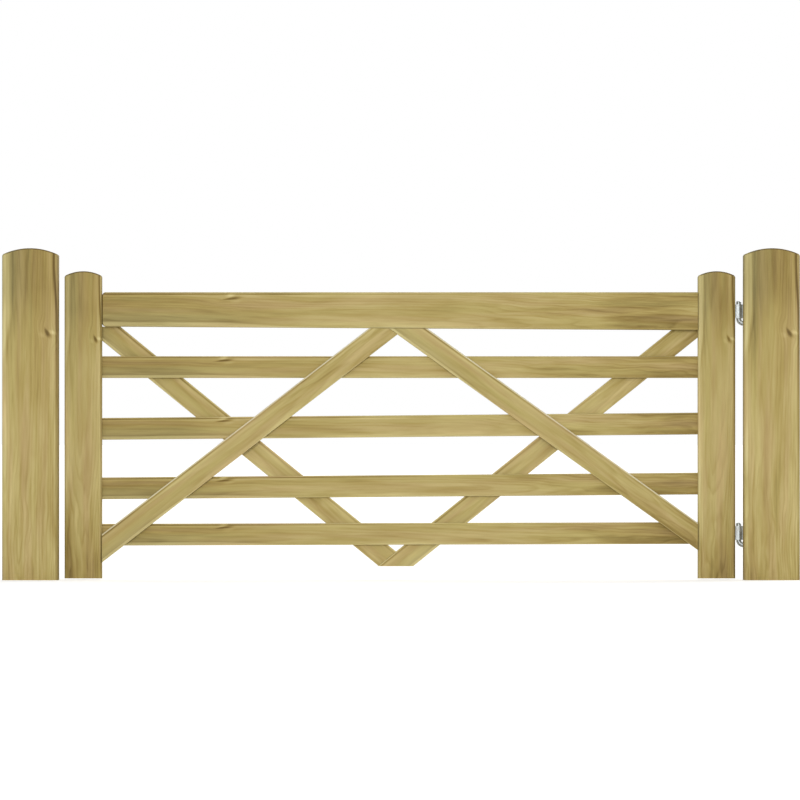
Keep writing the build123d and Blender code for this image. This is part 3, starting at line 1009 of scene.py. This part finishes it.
deselect()
bpy.ops.mesh.primitive_circle_add(vertices=BUTTON_SIDES, radius=BUTTON_RADIUS, fill_type="NGON")
button = bpy.context.active_object
button.name = "brace_screw"
bpy.ops.object.mode_set(mode="EDIT")
bpy.ops.mesh.select_all(action="SELECT")
bpy.ops.mesh.extrude_region_move(TRANSFORM_OT_translate={"value": (0, 0, BUTTON_HEIGHT)})
bpy.ops.mesh.bevel(offset=BUTTON_BEVEL, segments=3, affect="EDGES")
bpy.ops.mesh.inset(thickness=SOCKET_INSET)
bpy.ops.mesh.extrude_region_move(TRANSFORM_OT_translate={"value": (0, 0, -SOCKET_DEPTH)})
bpy.ops.transform.resize(value=(SOCKET_NARROWS, SOCKET_NARROWS, 1.0))
bpy.ops.mesh.select_all(action="SELECT")
bpy.ops.mesh.normals_make_consistent(inside=False)
bpy.ops.object.mode_set(mode="OBJECT")
button.data.materials.append(screw_zinc)
print("one brace screw:", len(button.data.polygons), "faces")

# %% [markdown]
# ## Where two timbers cross
# A crossing lies where the middle lines of brace and rail meet, which is a pair
# of equations in x and z. A screw is left out where it would miss its brace,
# come too near a stile, or sit under a back brace that hides the rail.

# %% Where two timbers cross
def middle_line(name):
    """A timber's direction, the direction across it, and its line's distance that way."""
    facts = timbers[name]
    lean = math.radians(facts["lean"])
    along = Vector((math.cos(lean), 0.0, math.sin(lean)))
    across = Vector((-math.sin(lean), 0.0, math.cos(lean)))
    return along, across, facts["low"].z + facts["size"].z / 2


def crossing(first, second):
    """Where the middle lines of two timbers meet, seen from the front."""
    first_across, first_offset = middle_line(first)[1:]
    second_across, second_offset = middle_line(second)[1:]
    square = np.array([[first_across.x, first_across.z], [second_across.x, second_across.z]])
    x, z = np.linalg.solve(square, [first_offset, second_offset])
    return Vector((x, 0.0, z))


def clear_of(point, name, distance):
    """Whether a point keeps the distance from a timber's middle line."""
    across, offset = middle_line(name)[1:]
    return abs(point.dot(across) - offset) > distance


meeting = crossing("heel_back_brace", "head_back_brace")
print("the back braces meet at", [round(value, 3) for value in meeting])

# %% Two screws at every crossing
SLANT = 20 * MM
SPREAD = 16 * MM
CLEARANCE = 50 * MM
leaf_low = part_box("head_stile")[1].x
leaf_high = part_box("heel_stile")[0].x
fixed = 0
for brace in FRONT_BRACES + BACK_BRACES:
    along, across = middle_line(brace)[:2]
    in_front = brace in FRONT_BRACES
    face_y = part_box("second_rail")[1].y if in_front else leaf_back
    for rail in RAIL_NAMES[1:]:
        middle = crossing(brace, rail)
        if not leaf_low + CLEARANCE < middle.x < leaf_high - CLEARANCE:
            continue
        for side in (-1, 1):
            place = middle + side * (SLANT * along + SPREAD * across)
            on_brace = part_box(brace)[0].z < place.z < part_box(brace)[1].z
            seen = not in_front or all(clear_of(place, back, CLEARANCE) for back in BACK_BRACES)
            if on_brace and seen:
                fixed += 1
                copy_to(button, f"brace_screw_{fixed}", (place.x, face_y, place.z), "leaf")
bpy.data.objects.remove(button)
print("brace screws:", fixed)

# %% [markdown]
# ## Weld beads on the hooks
# The pin is a bent round bar, welded along its lower leg to the plate. A weld is
# laid drop by drop, so its bead has the look of a row of coins pushed over. We
# take a thin cylinder, pull its top face up once for every drop and swell or
# shrink it in turn. Two beads lie along each bar, one under it and one over it.

# %% One bead
BEAD_LENGTH = 54 * MM
BEAD_RADIUS = 3.4 * MM
BEAD_SIDES = 10
DROPS = 18
DROP_LENGTH = BEAD_LENGTH / DROPS
SWELL = 1.22

deselect()
bpy.ops.mesh.primitive_cylinder_add(
    vertices=BEAD_SIDES, radius=BEAD_RADIUS, depth=DROP_LENGTH, end_fill_type="NGON",
)
bead = bpy.context.active_object
bead.name = "weld_bead"
for drop in range(DROPS - 1):
    bpy.ops.object.mode_set(mode="OBJECT")
    top_face = max(bead.data.polygons, key=lambda face: face.center.z)
    for part in (*bead.data.vertices, *bead.data.edges, *bead.data.polygons):
        part.select = False
    top_face.select = True
    bpy.ops.object.mode_set(mode="EDIT")
    bpy.ops.mesh.select_mode(type="FACE")
    swell = SWELL if drop % 2 else 1 / SWELL
    bpy.ops.mesh.extrude_region_move(TRANSFORM_OT_translate={"value": (0, 0, DROP_LENGTH)})
    bpy.ops.transform.resize(value=(swell, swell, 1.0))
bpy.ops.mesh.select_all(action="SELECT")
bpy.ops.mesh.normals_make_consistent(inside=False)
bpy.ops.object.mode_set(mode="OBJECT")
deselect()
bead.select_set(True)
bpy.ops.object.shade_smooth_by_angle(angle=math.radians(50))
bead.data.transform(Matrix.Translation((0, 0, -BEAD_LENGTH / 2 + DROP_LENGTH / 2)))
bead.data.materials.append(hinge_zinc)
print("one bead:", len(bead.data.polygons), "faces, made of", DROPS, "drops")

# %% Two beads along each bar
LAY_DOWN = Matrix.Rotation(math.radians(90), 4, "Y")
BEAD_FROM_PLATE_EDGE = 37 * MM
BEAD_OFF_PLATE = 1.2 * MM
BEAD_OFF_BAR = 8 * MM
beads = 0
for name in HOOKS:
    low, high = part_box(name)
    bar_z = low.z + PLATE_HEIGHT / 2
    for side, above in (("under", -1), ("over", 1)):
        mesh = bead.data.copy()
        middle = (
            high.x - PLATE_WIDTH + BEAD_FROM_PLATE_EDGE,
            post_back + PLATE_THICKNESS + BEAD_OFF_PLATE,
            bar_z + above * BEAD_OFF_BAR,
        )
        mesh.transform(Matrix.Translation(middle) @ LAY_DOWN)
        laid = bpy.data.objects.new(f"{name}_weld_{side}_the_bar", mesh)
        scene.collection.objects.link(laid)
        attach(laid, "posts")
        beads += 1
bpy.data.objects.remove(bead)
print("weld beads:", beads)
